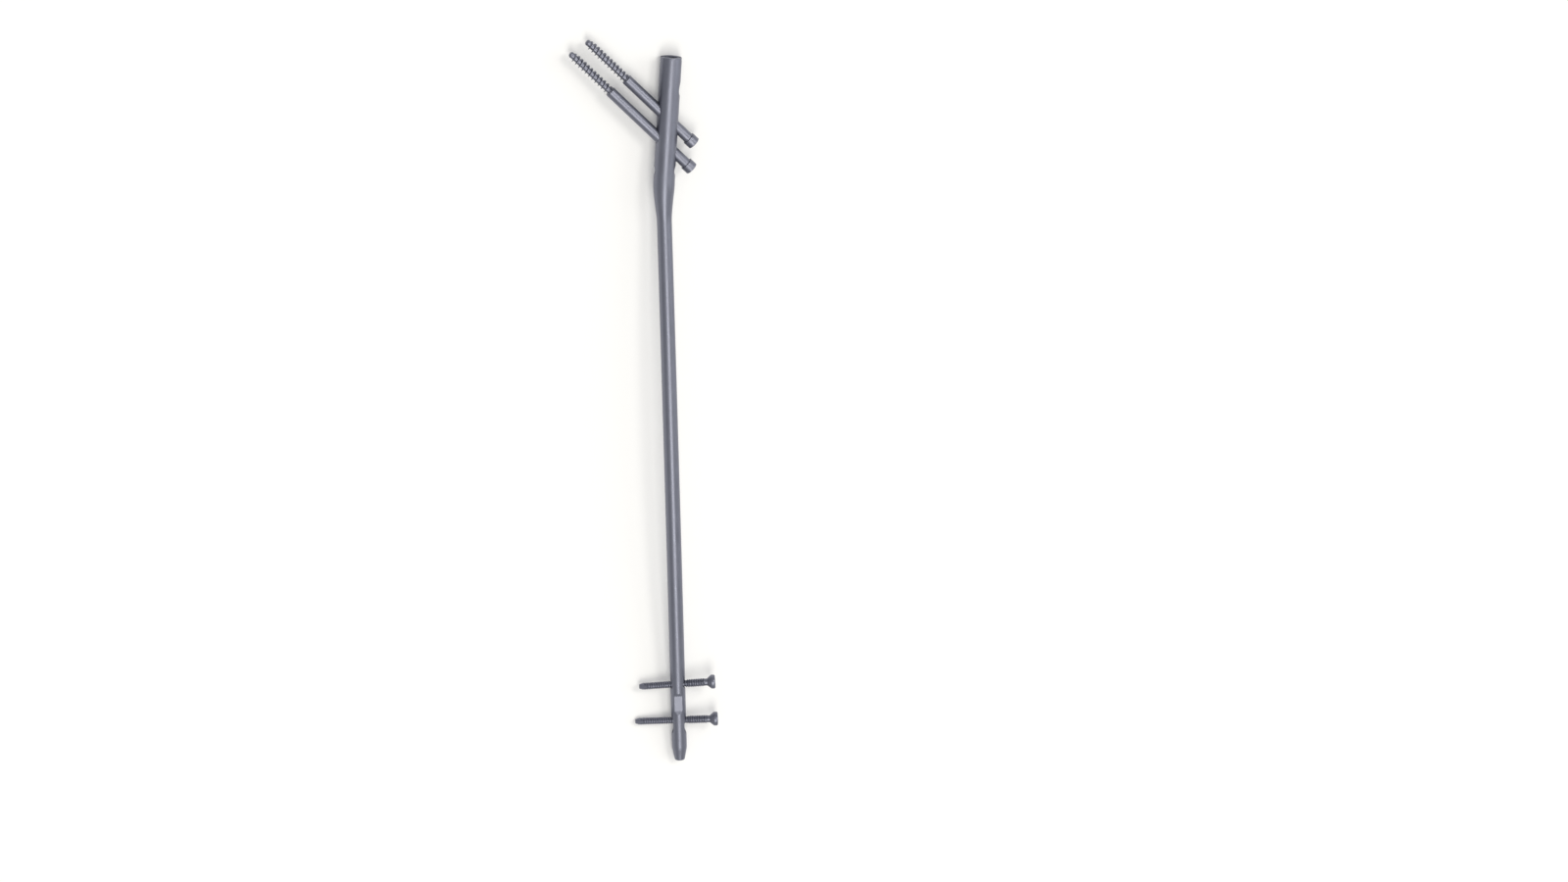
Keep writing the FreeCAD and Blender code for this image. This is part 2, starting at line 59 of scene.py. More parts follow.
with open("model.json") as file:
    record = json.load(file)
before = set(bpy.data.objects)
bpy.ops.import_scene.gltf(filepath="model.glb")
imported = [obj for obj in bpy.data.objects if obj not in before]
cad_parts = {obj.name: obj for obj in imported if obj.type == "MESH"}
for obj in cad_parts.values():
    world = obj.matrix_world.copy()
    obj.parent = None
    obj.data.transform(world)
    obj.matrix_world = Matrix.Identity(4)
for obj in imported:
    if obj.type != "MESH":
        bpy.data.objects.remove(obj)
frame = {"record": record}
CAD_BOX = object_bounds()

MM = 0.001
DEGREE = math.pi / 180
ACROSS = Vector((1, 0, 0))
BACK = Vector((0, 1, 0))
ALONG = Vector((0, 0, 1))
MERGE = 2e-6
BISECT_TOLERANCE = 1e-7
CUT_PAST = 2 * MM
SMOOTH_BELOW = 18.5 * DEGREE


def length(name, number, meaning):
    """A length property, its default given in millimetres."""
    return bpy.props.FloatProperty(
        name=name, description=meaning, default=number * MM, unit="LENGTH", precision=5
    )


def angle(name, number, meaning):
    """An angle property, its default given in degrees."""
    return bpy.props.FloatProperty(
        name=name, description=meaning, default=number * DEGREE, unit="ROTATION"
    )


def whole(name, number, meaning):
    """A count property of at least three."""
    return bpy.props.IntProperty(name=name, description=meaning, default=number, min=3)


class NailSizes(bpy.types.PropertyGroup):
    """The nail and the places of its holes."""

    total: length("Length", 440, "Top face to tip along the nail's axis")
    head: length("Head", 13, "Diameter of the straight head")
    shaft: length("Shaft", 9, "Diameter of the bowed shaft")
    head_edge: length("Head edge", 0.5, "Rounding of the top face's rim")
    bend_start: length("Bend start", 71, "Top face to the sideways bend")
    bend_radius: length("Bend radius", 250, "Radius of the sideways bend")
    bend: angle("Bend", 5, "Sideways bend")
    taper_start: length("Taper start", 77, "Top face to where the head narrows")
    taper: length("Taper", 24, "Length of the taper from head to shaft")
    taper_blend: length("Taper blend", 6, "Rounded stretch at each end of the taper")
    bow_radius: length("Bow radius", 1500, "Radius of the forward bow")
    foot: length("Foot", 60, "Straight stretch at the lower end")
    tip: length("Tip", 8, "Tapered tip")
    tip_end: length("Tip end", 6.3, "Diameter at the end of the tip")
    tip_round: length("Tip rounding", 0.8, "Rounding of the tip's end")
    cannula: length("Guide wire bore", 4, "Diameter of the bore through the nail")
    cap_bore: length("Top bore", 8.5, "Inner diameter of the threaded bore at the top")
    cap_depth: length("Top bore depth", 16.5, "Depth of the threaded bore")
    cap_pitch: length("Top thread pitch", 1.25, "Pitch of the thread in the top bore")
    key_width: length("Key slot", 3, "Width of the slot across the top face")
    key_depth: length("Key slot depth", 2.2, "Depth of the slot across the top face")
    hip_level: length("Hip level", 37.5, "Top face to the upper hip screw")
    hip_spacing: length("Hip spacing", 12, "Between the axes of the hip screws")
    hip_angle: angle("Hip angle", 49, "Hip screws to the nail's axis")
    anteversion: angle("Anteversion", 11, "Hip screws turned to the front")
    hip_hole: length("Hip holes", 6.7, "Diameter of the hip screw holes")
    oblique_level: length("Oblique level", 25.8, "Top face to the oblique hole")
    oblique_angle: angle("Oblique angle", 45, "Oblique hole to the nail's axis")
    transverse_level: length("Transverse level", 69.5, "Top face to the transverse hole")
    lock_hole: length("Locking holes", 5.3, "Diameter of the locking screw holes")
    mouth: length("Mouth rounding", 0.45, "Rounding where a hole leaves the nail")
    lock_mouth: length("Countersink", 7, "Countersinks of the upper locking hole")
    lock_upper: length("Upper lock", 49.1, "Tip to the upper locking screw")
    lock_tilt: angle("Upper lock tilt", 2, "Upper locking screw out of square")
    lock_lower: length("Lower lock", 25.6, "Tip to the lower locking screw")
    slot_travel: length("Slot travel", 5.6, "Travel of the lower locking screw")
    slot_width: length("Slot width", 5.4, "Width of the lower slot")
    flat_level: length("Flat level", 37.6, "Tip to the middle of the milled flat")
    flat_length: length("Flat length", 9.7, "Length of the milled flat")
    flat_depth: length("Flat depth", 0.68, "Depth of the milled flat")
    flat_ramp: angle("Flat ramp", 20, "Run-out at the ends of the flat")
    rest_pitch: angle("Rest pitch", 3.91, "Head lower than level at rest")
    rest_roll: angle("Rest roll", 10.44, "Rolled onto the inner side at rest")
    sides: whole("Sides", 96, "Corners round the nail")
    bow_rings: whole("Bow rings", 64, "Rings along the bow")


class HipScrewSizes(bpy.types.PropertyGroup):
    """The hip screws, which differ only in length and seat."""

    upper: length("Upper screw", 87.5, "Upper screw under its head")
    lower: length("Lower screw", 99.5, "Lower screw under its head")
    upper_seat: length("Upper seat", 17.9, "Nail's axis to the upper screw's head")
    lower_seat: length("Lower seat", 17.2, "Nail's axis to the lower screw's head")
    head: length("Head", 8, "Diameter of the head")
    head_length: length("Head length", 4.8, "Length of the head")
    shank: length("Shank", 6.5, "Diameter of the shank")
    thread: length("Thread", 5.7, "Outside diameter of the thread")
    core: length("Core", 3.5, "Diameter at the root of the thread")
    threaded: length("Threaded stretch", 34.2, "Thread and tip")
    pitch: length("Pitch", 2.75, "Pitch of the thread")
    crest: length("Crest", 0.26, "Width of a tooth at its crest")
    root: length("Root", 0.95, "Width of a tooth at its root")
    lead: length("Lead", 4.4, "Stretch at the tip where the teeth are low")
    edge: length("Edge", 0.35, "Rounding of the head and the shank's end")
    tip_round: length("Tip rounding", 1.1, "Rounding of the solid tip")
    socket: length("Socket", 4.5, "Hexagon socket across its flats")
    socket_depth: length("Socket depth", 3.4, "Depth of the hexagon socket")
    sides: whole("Sides", 64, "Corners round the screw")


class LockScrewSizes(bpy.types.PropertyGroup):
    """The locking screws, which differ only in reach."""

    upper_reach: length("Upper reach", 23.4, "Nail's axis to the upper screw's point")
    upper_back: length("Upper back", 22.7, "Nail's axis to the end of its head")
    lower_reach: length("Lower reach", 26.3, "Nail's axis to the lower screw's point")
    lower_back: length("Lower back", 23.7, "Nail's axis to the end of its head")
    head: length("Head", 8.5, "Diameter of the head")
    head_length: length("Head length", 4.7, "Length of the head")
    cone: length("Cone", 2.3, "Tapered underside of the head")
    head_round: length("Head rounding", 0.9, "Rounding of the head")
    neck: length("Neck", 4.3, "Diameter of the neck")
    neck_length: length("Neck length", 1.6, "Length of the neck")
    full: length("Full thread", 5, "Thread diameter on the head's side")
    slim: length("Slim thread", 4.4, "Thread diameter on the point's side")
    step_start: length("Step start", 5, "Nail's axis to where the screw gets thicker")
    step: length("Step", 1.5, "Length of the step between both diameters")
    tip: length("Tip", 2.4, "Tapered tip")
    tip_end: length("Tip end", 2.6, "Diameter at the end of the tip")
    pitch: length("Pitch", 1.4, "Pitch of the thread")
    depth: length("Thread depth", 0.55, "Depth of the thread")
    flute: length("Flute", 5, "Length of the cutting flutes")
    flute_width: length("Flute width", 1.5, "Width of a cutting flute")
    flute_floor: length("Flute floor", 1.25, "Axis to the bottom of a flute")
    flutes: whole("Flutes", 3, "Cutting flutes round the point")
    socket: length("Socket", 3.5, "Hexagon socket across its flats")
    socket_depth: length("Socket depth", 2.8, "Depth of the hexagon socket")
    sides: whole("Sides", 48, "Corners round the screw")


class Finish(bpy.types.PropertyGroup):
    """The colour and gloss of the anodised titanium."""

    nail: bpy.props.FloatVectorProperty(
        name="Nail", description="Colour of the nail", subtype="COLOR",
        default=(0.178, 0.187, 0.238), min=0, max=1,
    )
    screw: bpy.props.FloatVectorProperty(
        name="Screws", description="Colour of the screws", subtype="COLOR",
        default=(0.17, 0.178, 0.228), min=0, max=1,
    )
    gloss: bpy.props.FloatProperty(
        name="Roughness", description="Roughness of the blasted surface", default=0.42, min=0, max=1
    )


class StageSettings(bpy.types.PropertyGroup):
    """Camera, floor and light."""

    view_turn: angle("View turn", -2.27, "Camera turned from the front to the outer side")
    view_tilt: angle("View tilt", 10.09, "Camera raised from the front towards the nail's head")
    lean: angle("Lean", 3.38, "Nail's head leaning to the right in the picture")
    lens: bpy.props.FloatProperty(name="Lens", description="Focal length in mm", default=400)
    pixel: length("Pixel", 0.5874, "Size of a pixel of the picture on the nail")
    floor: length("Floor", 24000, "Width of the floor")


SETTINGS = {
    "nail_sizes": NailSizes,
    "hip_screw_sizes": HipScrewSizes,
    "lock_screw_sizes": LockScrewSizes,
    "nail_finish": Finish,
    "nail_stage": StageSettings,
}

PICTURE = Vector((1600, 900))
NAIL_TOP_PIXEL = Vector((684.9, 57.85))


def turn(axis, radians):
    """A turn about an axis through the origin."""
    return Matrix.Rotation(radians, 4, axis)


def move(x, y, z):
    """A shift."""
    return Matrix.Translation((x, y, z))


def turn_about(centre, axis, radians):
    """Turns about an axis through a centre, both in the frame that it is applied in."""
    return Matrix.Translation(centre) @ turn(axis, radians) @ Matrix.Translation(-centre)


class Axis:
    """The nail's bent and bowed axis, and the frames of what crosses it."""

    def __init__(self, sizes):
        self.sizes = sizes
        self.bow_start = sizes.bend_start + sizes.bend_radius * sizes.bend
        self.foot_start = sizes.total - sizes.foot

    def at(self, distance):
        """The frame this far below the top face: Z up the nail, X outwards, Y to the back."""
        sizes = self.sizes
        straight = min(distance, sizes.bend_start)
        bent = min(max(distance - sizes.bend_start, 0), self.bow_start - sizes.bend_start)
        bowed = min(max(distance - self.bow_start, 0), self.foot_start - self.bow_start)
        foot = max(distance - self.foot_start, 0)
        place = move(0, 0, -straight)
        place = place @ turn_about(ACROSS * sizes.bend_radius, BACK, -bent / sizes.bend_radius)
        place = place @ turn_about(BACK * sizes.bow_radius, ACROSS, bowed / sizes.bow_radius)
        return place @ move(0, 0, -foot)

    def from_tip(self, distance):
        """The frame this far above the tip."""
        return self.at(self.sizes.total - distance)

    def hip(self, level):
        """The axis of a hip screw, its Z towards the tip of the screw."""
        sizes = self.sizes
        return self.at(level) @ turn(ALONG, sizes.anteversion) @ turn(BACK, -sizes.hip_angle)

    def hip_levels(self):
        """How far below the top face both hip screws cross the axis, the upper one first."""
        step = self.sizes.hip_spacing / math.sin(self.sizes.hip_angle)
        return self.sizes.hip_level, self.sizes.hip_level + step

    def oblique(self):
        """The axis of the slanting hole above the hip screws."""
        return self.at(self.sizes.oblique_level) @ turn(BACK, self.sizes.oblique_angle)

    def transverse(self):
        """Square to the shaft below the bend, and not to the head."""
        below = self.at(self.bow_start).to_3x3().to_4x4()
        level = self.at(self.sizes.transverse_level).translation
        return Matrix.Translation(level) @ below @ turn(BACK, math.pi / 2)

    def upper_lock(self):
        """The axis of the upper locking screw, a little out of square."""
        side = math.pi / 2 - self.sizes.lock_tilt
        return self.from_tip(self.sizes.lock_upper) @ turn(BACK, side)

    def lower_lock(self):
        """The axis of the lower locking screw, at the upper end of its slot."""
        return self.from_tip(self.sizes.lock_lower) @ turn(BACK, math.pi / 2)

    def resting(self):
        """From the upright nail to the nail as it lies, its front side up."""
        lying = turn(ACROSS, -math.pi / 2)
        rolled = turn(BACK, -self.sizes.rest_roll)
        return turn(ACROSS, -self.sizes.rest_pitch) @ rolled @ lying


def deselect():
    """Leaves nothing selected."""
    bpy.ops.object.select_all(action="DESELECT")


def make_active(piece):
    """Selects one piece alone."""
    deselect()
    piece.select_set(True)
    bpy.context.view_layer.objects.active = piece


def edit(piece):
    """Opens a piece in edit mode."""
    make_active(piece)
    bpy.ops.object.mode_set(mode="EDIT")


def leave():
    """Goes back to object mode."""
    bpy.ops.object.mode_set(mode="OBJECT")


def facing_out(piece):
    """Merges doubles and turns every face outwards."""
    edit(piece)
    bpy.ops.mesh.select_all(action="SELECT")
    bpy.ops.mesh.remove_doubles(threshold=MERGE)
    bpy.ops.mesh.normals_make_consistent(inside=False)
    leave()


def turned(name, rings, sides):
    """A solid of revolution about Z: a disc extruded and resized from ring to ring.

    The rings are pairs of radius and height, from one end to the other.
    """
    radius, height = rings[0]
    deselect()
    bpy.ops.mesh.primitive_circle_add(
        vertices=sides, radius=radius, fill_type="NGON", location=(0, 0, height)
    )
    piece = bpy.context.object
    piece.name = name
    bpy.ops.object.transform_apply(location=True, rotation=True, scale=True)
    edit(piece)
    bpy.ops.mesh.select_all(action="SELECT")
    for next_radius, next_height in rings[1:]:
        rise = (0, 0, next_height - height)
        bpy.ops.mesh.extrude_region_move(TRANSFORM_OT_translate={"value": rise})
        grow = next_radius / radius
        bpy.ops.transform.resize(value=(grow, grow, 1), center_override=(0, 0, next_height))
        radius, height = next_radius, next_height
    leave()
    facing_out(piece)
    return piece


def prism(name, corners, low, high):
    """A straight prism along Z over an outline of corners, each a pair of X and Y."""
    deselect()
    bpy.ops.mesh.primitive_circle_add(vertices=len(corners), fill_type="NGON")
    piece = bpy.context.object
    piece.name = name
    for vertex, (x, y) in zip(piece.data.vertices, corners):
        vertex.co = (x, y, low)
    edit(piece)
    bpy.ops.mesh.select_all(action="SELECT")
    rise = (0, 0, high - low)
    bpy.ops.mesh.extrude_region_move(TRANSFORM_OT_translate={"value": rise})
    leave()
    facing_out(piece)
    return piece


def arc(centre, radius, start, end, steps):
    """Rings of radius and height on an arc about a centre in the profile's own plane."""
    rings = []
    for step in range(steps + 1):
        around = start + (end - start) * step / steps
        rings.append(
            (centre[0] + radius * math.cos(around), centre[1] + radius * math.sin(around))
        )
    return rings


def placed(piece, place):
    """Puts a piece at a place and keeps that place in its mesh."""
    make_active(piece)
    piece.matrix_world = place
    bpy.ops.object.transform_apply(location=True, rotation=True, scale=True)
    return piece


def cut(piece, cutter, operation="DIFFERENCE"):
    """Takes a cutter out of a piece, or joins it on, removes it and cleans up along the cut."""
    make_active(piece)
    modifier = piece.modifiers.new("Cut", "BOOLEAN")
    modifier.operation = operation
    modifier.solver = "EXACT"
    modifier.object = cutter
    bpy.ops.object.modifier_apply(modifier=modifier.name)
    bpy.data.objects.remove(cutter)
    edit(piece)
    bpy.ops.mesh.select_all(action="SELECT")
    bpy.ops.mesh.remove_doubles(threshold=MERGE)
    bpy.ops.mesh.dissolve_degenerate(threshold=MERGE / 4)
    leave()


def thread_rod(name, profile, pitch, low, high, sides, rings=()):
    """A threaded rod along Z, from one pitch of its outline as pairs of radius and height.

    The outline is swept by a Screw modifier. Its turns meet, and both ends are cut flat. Edges
    are added at the heights in rings, where the rod is reshaped later.
    """
    deselect()
    bpy.ops.mesh.primitive_plane_add(size=MM, location=(0, 0, 0))
    piece = bpy.context.object
    piece.name = name
    edit(piece)
    bpy.ops.mesh.select_all(action="SELECT")
    bpy.ops.mesh.merge(type="CENTER")
    start = Vector((profile[0][0], 0, low - 2 * pitch + profile[0][1]))
    bpy.ops.transform.translate(value=start)
    for before, after in zip(profile, profile[1:]):
        step = (after[0] - before[0], 0, after[1] - before[1])
        bpy.ops.mesh.extrude_vertices_move(TRANSFORM_OT_translate={"value": step})
    leave()
    screw = piece.modifiers.new("Thread", "SCREW")
    screw.axis = "Z"
    screw.angle = 2 * math.pi
    screw.steps = sides
    screw.render_steps = sides
    screw.screw_offset = pitch
    screw.iterations = math.ceil((high - low) / pitch) + 3
    make_active(piece)
    bpy.ops.object.modifier_apply(modifier=screw.name)
    edit(piece)
    bpy.ops.mesh.select_all(action="SELECT")
    bpy.ops.mesh.remove_doubles(threshold=MERGE)
    for height, inner in ((low, True), (high, False)):
        bpy.ops.mesh.select_all(action="SELECT")
        bpy.ops.mesh.bisect(
            plane_co=(0, 0, height),
            plane_no=(0, 0, 1),
            use_fill=True,
            clear_inner=inner,
            clear_outer=not inner,
            threshold=BISECT_TOLERANCE,
        )
    for height in rings:
        bpy.ops.mesh.select_all(action="SELECT")
        bpy.ops.mesh.bisect(plane_co=(0, 0, height), plane_no=(0, 0, 1), threshold=BISECT_TOLERANCE)
    leave()
    facing_out(piece)
    return piece


def tooth(core, outside, crest, root, pitch):
    """One pitch of a thread's outline: a tooth between two halves of the gap beside it."""
    gap = (pitch - root) / 2
    flank = (root - crest) / 2
    return [
        (core, 0),
        (core, gap),
        (outside, gap + flank),
        (outside, gap + flank + crest),
        (core, gap + root),
        (core, pitch),
    ]


def reshaped(piece, radius_at):
    """Moves a turned piece's vertices in or out to a radius that depends on radius and height."""
    for vertex in piece.data.vertices:
        radius = math.hypot(vertex.co.x, vertex.co.y)
        if radius > MERGE:
            share = radius_at(radius, vertex.co.z) / radius
            vertex.co.x *= share
            vertex.co.y *= share


def cut_socket(screw, across, depth, end, inwards):
    """Cuts a hexagon socket into a screw's end, with a short cone at its mouth."""
    corner = across / math.sqrt(3)
    outline = [
        (corner * math.cos(number * math.pi / 3), corner * math.sin(number * math.pi / 3))
        for number in range(6)
    ]
    low, high = sorted((end - inwards * CUT_PAST, end + inwards * depth))
    cut(screw, prism("Socket", outline, low, high))
    cone_depth = 0.3 * MM
    narrow, wide = corner - 0.25 * MM, corner + cone_depth
    rings = [(narrow, end + inwards * cone_depth), (wide, end - inwards * cone_depth)]
    cut(screw, turned("SocketMouth", rings, 48))


def finished(piece, place, material, body, node):
    """Places a modelled piece, gives it its finish and puts it on its body."""
    placed(piece, place)
    facing_out(piece)
    make_active(piece)
    bpy.ops.object.shade_smooth_by_angle(angle=SMOOTH_BELOW)
    piece.data.materials.clear()
    piece.data.materials.append(material)
    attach(piece, body)
    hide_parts(node)
    return piece


def body_of_node(node):
    """The packed body that a node belongs to."""
    bodies = frame["record"]["behaviour"]["bodies"]
    return [body for body, nodes in bodies.items() if node in nodes][0]


def noise(nodes, links, place, scale, detail, roughness):
    """A noise on the piece's own coordinates."""
    node = nodes.new("ShaderNodeTexNoise")
    node.inputs["Detail"].default_value = detail
    node.inputs["Roughness"].default_value = roughness
    links.new(place.outputs["Object"], node.inputs["Vector"])
    links.new(scale, node.inputs["Scale"])
    return node.outputs["Fac"]


def spread(nodes, links, value, margin, low, high):
    """Spreads a noise's middle range, from margin to 1 - margin, over low to high."""
    node = nodes.new("ShaderNodeMapRange")
    node.inputs["From Min"].default_value = margin
    node.inputs["From Max"].default_value = 1 - margin
    node.inputs["To Min"].default_value = low
    node.inputs["To Max"].default_value = high
    links.new(value, node.inputs["Value"])
    return node.outputs["Result"]


def combined(nodes, links, operation, first, second):
    """Adds or multiplies two values."""
    node = nodes.new("ShaderNodeMath")
    node.operation = operation
    links.new(first, node.inputs[0])
    links.new(second, node.inputs[1])
    return node.outputs["Value"]


def blasted_oxide():
    """Shared surface detail: soft mottling of the oxide and the fine grain of blasting."""
    name = "BlastedOxide"
    if name in bpy.data.node_groups:
        return bpy.data.node_groups[name]
    group = bpy.data.node_groups.new(name, "ShaderNodeTree")
    face = group.interface
    for label, default in (("Mottle Scale", 90.0), ("Grain Scale", 5200.0), ("Rough", 0.42)):
        number = face.new_socket(label, in_out="INPUT", socket_type="NodeSocketFloat")
        number.default_value = default
    face.new_socket("Colour", in_out="INPUT", socket_type="NodeSocketColor")
    face.new_socket("Colour", in_out="OUTPUT", socket_type="NodeSocketColor")
    face.new_socket("Roughness", in_out="OUTPUT", socket_type="NodeSocketFloat")
    face.new_socket("Height", in_out="OUTPUT", socket_type="NodeSocketFloat")
    nodes, links = group.nodes, group.links
    given = nodes.new("NodeGroupInput").outputs
    result = nodes.new("NodeGroupOutput").inputs
    place = nodes.new("ShaderNodeTexCoord")
    mottle = noise(nodes, links, place, given["Mottle Scale"], 4, 0.55)
    grain = noise(nodes, links, place, given["Grain Scale"], 3, 0.7)

    tone = spread(nodes, links, mottle, 0.25, 0.94, 1.05)
    speck = spread(nodes, links, grain, 0.3, 0.93, 1.05)
    paint = nodes.new("ShaderNodeVectorMath")
    paint.operation = "SCALE"
    links.new(given["Colour"], paint.inputs[0])
    links.new(combined(nodes, links, "MULTIPLY", tone, speck), paint.inputs["Scale"])
    links.new(paint.outputs["Vector"], result["Colour"])

    change = spread(nodes, links, mottle, 0.25, -0.05, 0.06)
    links.new(combined(nodes, links, "ADD", change, given["Rough"]), result["Roughness"])
    links.new(grain, result["Height"])
    return group


def titanium(name, colour, roughness, grain, relief):
    """Blasted and grey anodised titanium, its oxide a thin coat over the metal."""
    material = bpy.data.materials.new(name)
    material.use_nodes = True
    nodes, links = material.node_tree.nodes, material.node_tree.links
    shader = nodes["Principled BSDF"]
    shader.inputs["Metallic"].default_value = 0.85
    shader.inputs["Specular Tint"].default_value = (0.55, 0.55, 0.6, 1)
    shader.inputs["Coat Weight"].default_value = 0.8
    shader.inputs["Coat Roughness"].default_value = 0.4
    surface = nodes.new("ShaderNodeGroup")
    surface.node_tree = blasted_oxide()
    surface.inputs["Colour"].default_value = (*colour, 1)
    surface.inputs["Rough"].default_value = roughness
    surface.inputs["Grain Scale"].default_value = grain
    bump = nodes.new("ShaderNodeBump")
    bump.inputs["Strength"].default_value = 0.35
    bump.inputs["Distance"].default_value = relief
    links.new(surface.outputs["Colour"], shader.inputs["Base Color"])
    links.new(surface.outputs["Roughness"], shader.inputs["Roughness"])
    links.new(surface.outputs["Height"], bump.inputs["Height"])
    links.new(bump.outputs["Normal"], shader.inputs["Normal"])
    return material


def surface_heights(hole, nail_frame, nail_radius, x, y):
    """Where a line along a hole's Z, at X and Y in its frame, meets the nail: both heights."""
    into_nail = nail_frame.inverted() @ hole
    start = into_nail @ Vector((x, y, 0))
    way = into_nail.to_3x3() @ ALONG
    a = way.x**2 + way.y**2
    b = 2 * (start.x * way.x + start.y * way.y)
    c = start.x**2 + start.y**2 - nail_radius**2
    root = math.sqrt(max(b * b - 4 * a * c, 0))
    return (-b - root) / (2 * a), (-b + root) / (2 * a)


def hole_cutter(hole, nail_frame, nail_radius, radius, rounding, travel=0, sides=72):
    """A hole across the nail with rounded mouths, or a slot along X over a travel."""
    steps = 6
    half = [(rounding, None)]
    for step in range(steps, -1, -1):
        around = step * math.pi / 2 / steps
        half.append((rounding * (1 - math.cos(around)), rounding * (1 - math.sin(around))))
    profile = [(out, depth, 1) for out, depth in half]
    profile += [(out, depth, -1) for out, depth in reversed(half)]
    rings = [(radius + out, -number * MM) for number, (out, _, _) in enumerate(profile)]
    piece = turned("Hole", rings, sides)
    for vertex in piece.data.vertices:
        _, depth, side = profile[round(-vertex.co.z / MM)]
        x, y = vertex.co.x, vertex.co.y
        if x > 0:
            x += travel
        height = 3 * nail_radius * side
        if depth is not None:
            surface = surface_heights(hole, nail_frame, nail_radius, x, y)
            height = surface[side > 0] - side * depth
        vertex.co = (x, y, height)
    facing_out(piece)
    return placed(piece, hole)


def straight_nail(sizes, axis):
    """The nail's outside as a straight rod with rings where it narrows, bends or bows."""
    head, shaft = sizes.head / 2, sizes.shaft / 2
    edge = sizes.head_edge
    rings = arc((head - edge, -edge), edge, math.pi / 2, 0, 6)
    for share in (0.3, 0.65, 1):
        rings.append((head, -share * sizes.bend_start))
    slope = (head - shaft) / (sizes.taper - sizes.taper_blend)
    end = sizes.taper_start + sizes.taper
    taper_rings = 28
    for number in range(1, taper_rings + 1):
        distance = sizes.bend_start + (end - sizes.bend_start) * number / taper_rings
        down = min(max(distance - sizes.taper_start, 0), sizes.taper)
        into = min(down, sizes.taper_blend)
        out = max(down - (sizes.taper - sizes.taper_blend), 0)
        middle = min(max(down - sizes.taper_blend, 0), sizes.taper - 2 * sizes.taper_blend)
        fall = slope * ((into**2 - out**2) / (2 * sizes.taper_blend) + middle + out)
        rings.append((head - fall, -distance))
    for number in range(1, sizes.bow_rings + 1):
        distance = end + (axis.foot_start - end) * number / sizes.bow_rings
        rings.append((shaft, -distance))
    tip_start = sizes.total - sizes.tip
    for inwards, below in ((0, -1.2), (0.02, 0), (0.2, 1.1)):
        rings.append((shaft - inwards * MM, -(tip_start + below * MM)))
    tip, edge = sizes.tip_end / 2, sizes.tip_round
    end_arc = arc((tip - edge, -sizes.total + edge), edge, 8 * DEGREE, -math.pi / 2, 6)
    return rings + end_arc


def follow(piece, axis):
    """Bends a straight rod along the nail's axis."""
    for vertex in piece.data.vertices:
        distance = -vertex.co.z
        place = axis.at(max(distance, 0))
        ahead = max(-distance, 0)
        vertex.co = place @ Vector((vertex.co.x, vertex.co.y, ahead))


def bore(sizes, axis):
    """The guide wire bore and the smooth part of the top bore, as one cutter.

    It is chamfered at both mouths and runs past both ends.
    """
    wire, cap = sizes.cannula / 2, sizes.cap_bore / 2
    point = sizes.cap_depth + (cap - wire) / 2
    edge, past = 0.5 * MM, 1.8 * MM
    rings = [(cap + edge + past, past), (cap, -edge), (cap, -sizes.cap_depth), (wire, -point)]
    rings.append((wire, -sizes.bend_start))
    for number in range(1, 9):
        rings.append((wire, -(sizes.bend_start + (axis.bow_start - sizes.bend_start) * number / 8)))
    for number in range(1, sizes.bow_rings + 1):
        distance = axis.bow_start + (axis.foot_start - axis.bow_start) * number / sizes.bow_rings
        rings.append((wire, -distance))
    edge, past = 0.3 * MM, 0.6 * MM
    rings.append((wire, -sizes.total + edge))
    rings.append((wire + edge + past, -sizes.total - past))
    piece = turned("Bore", rings, 48)
    follow(piece, axis)
    return piece


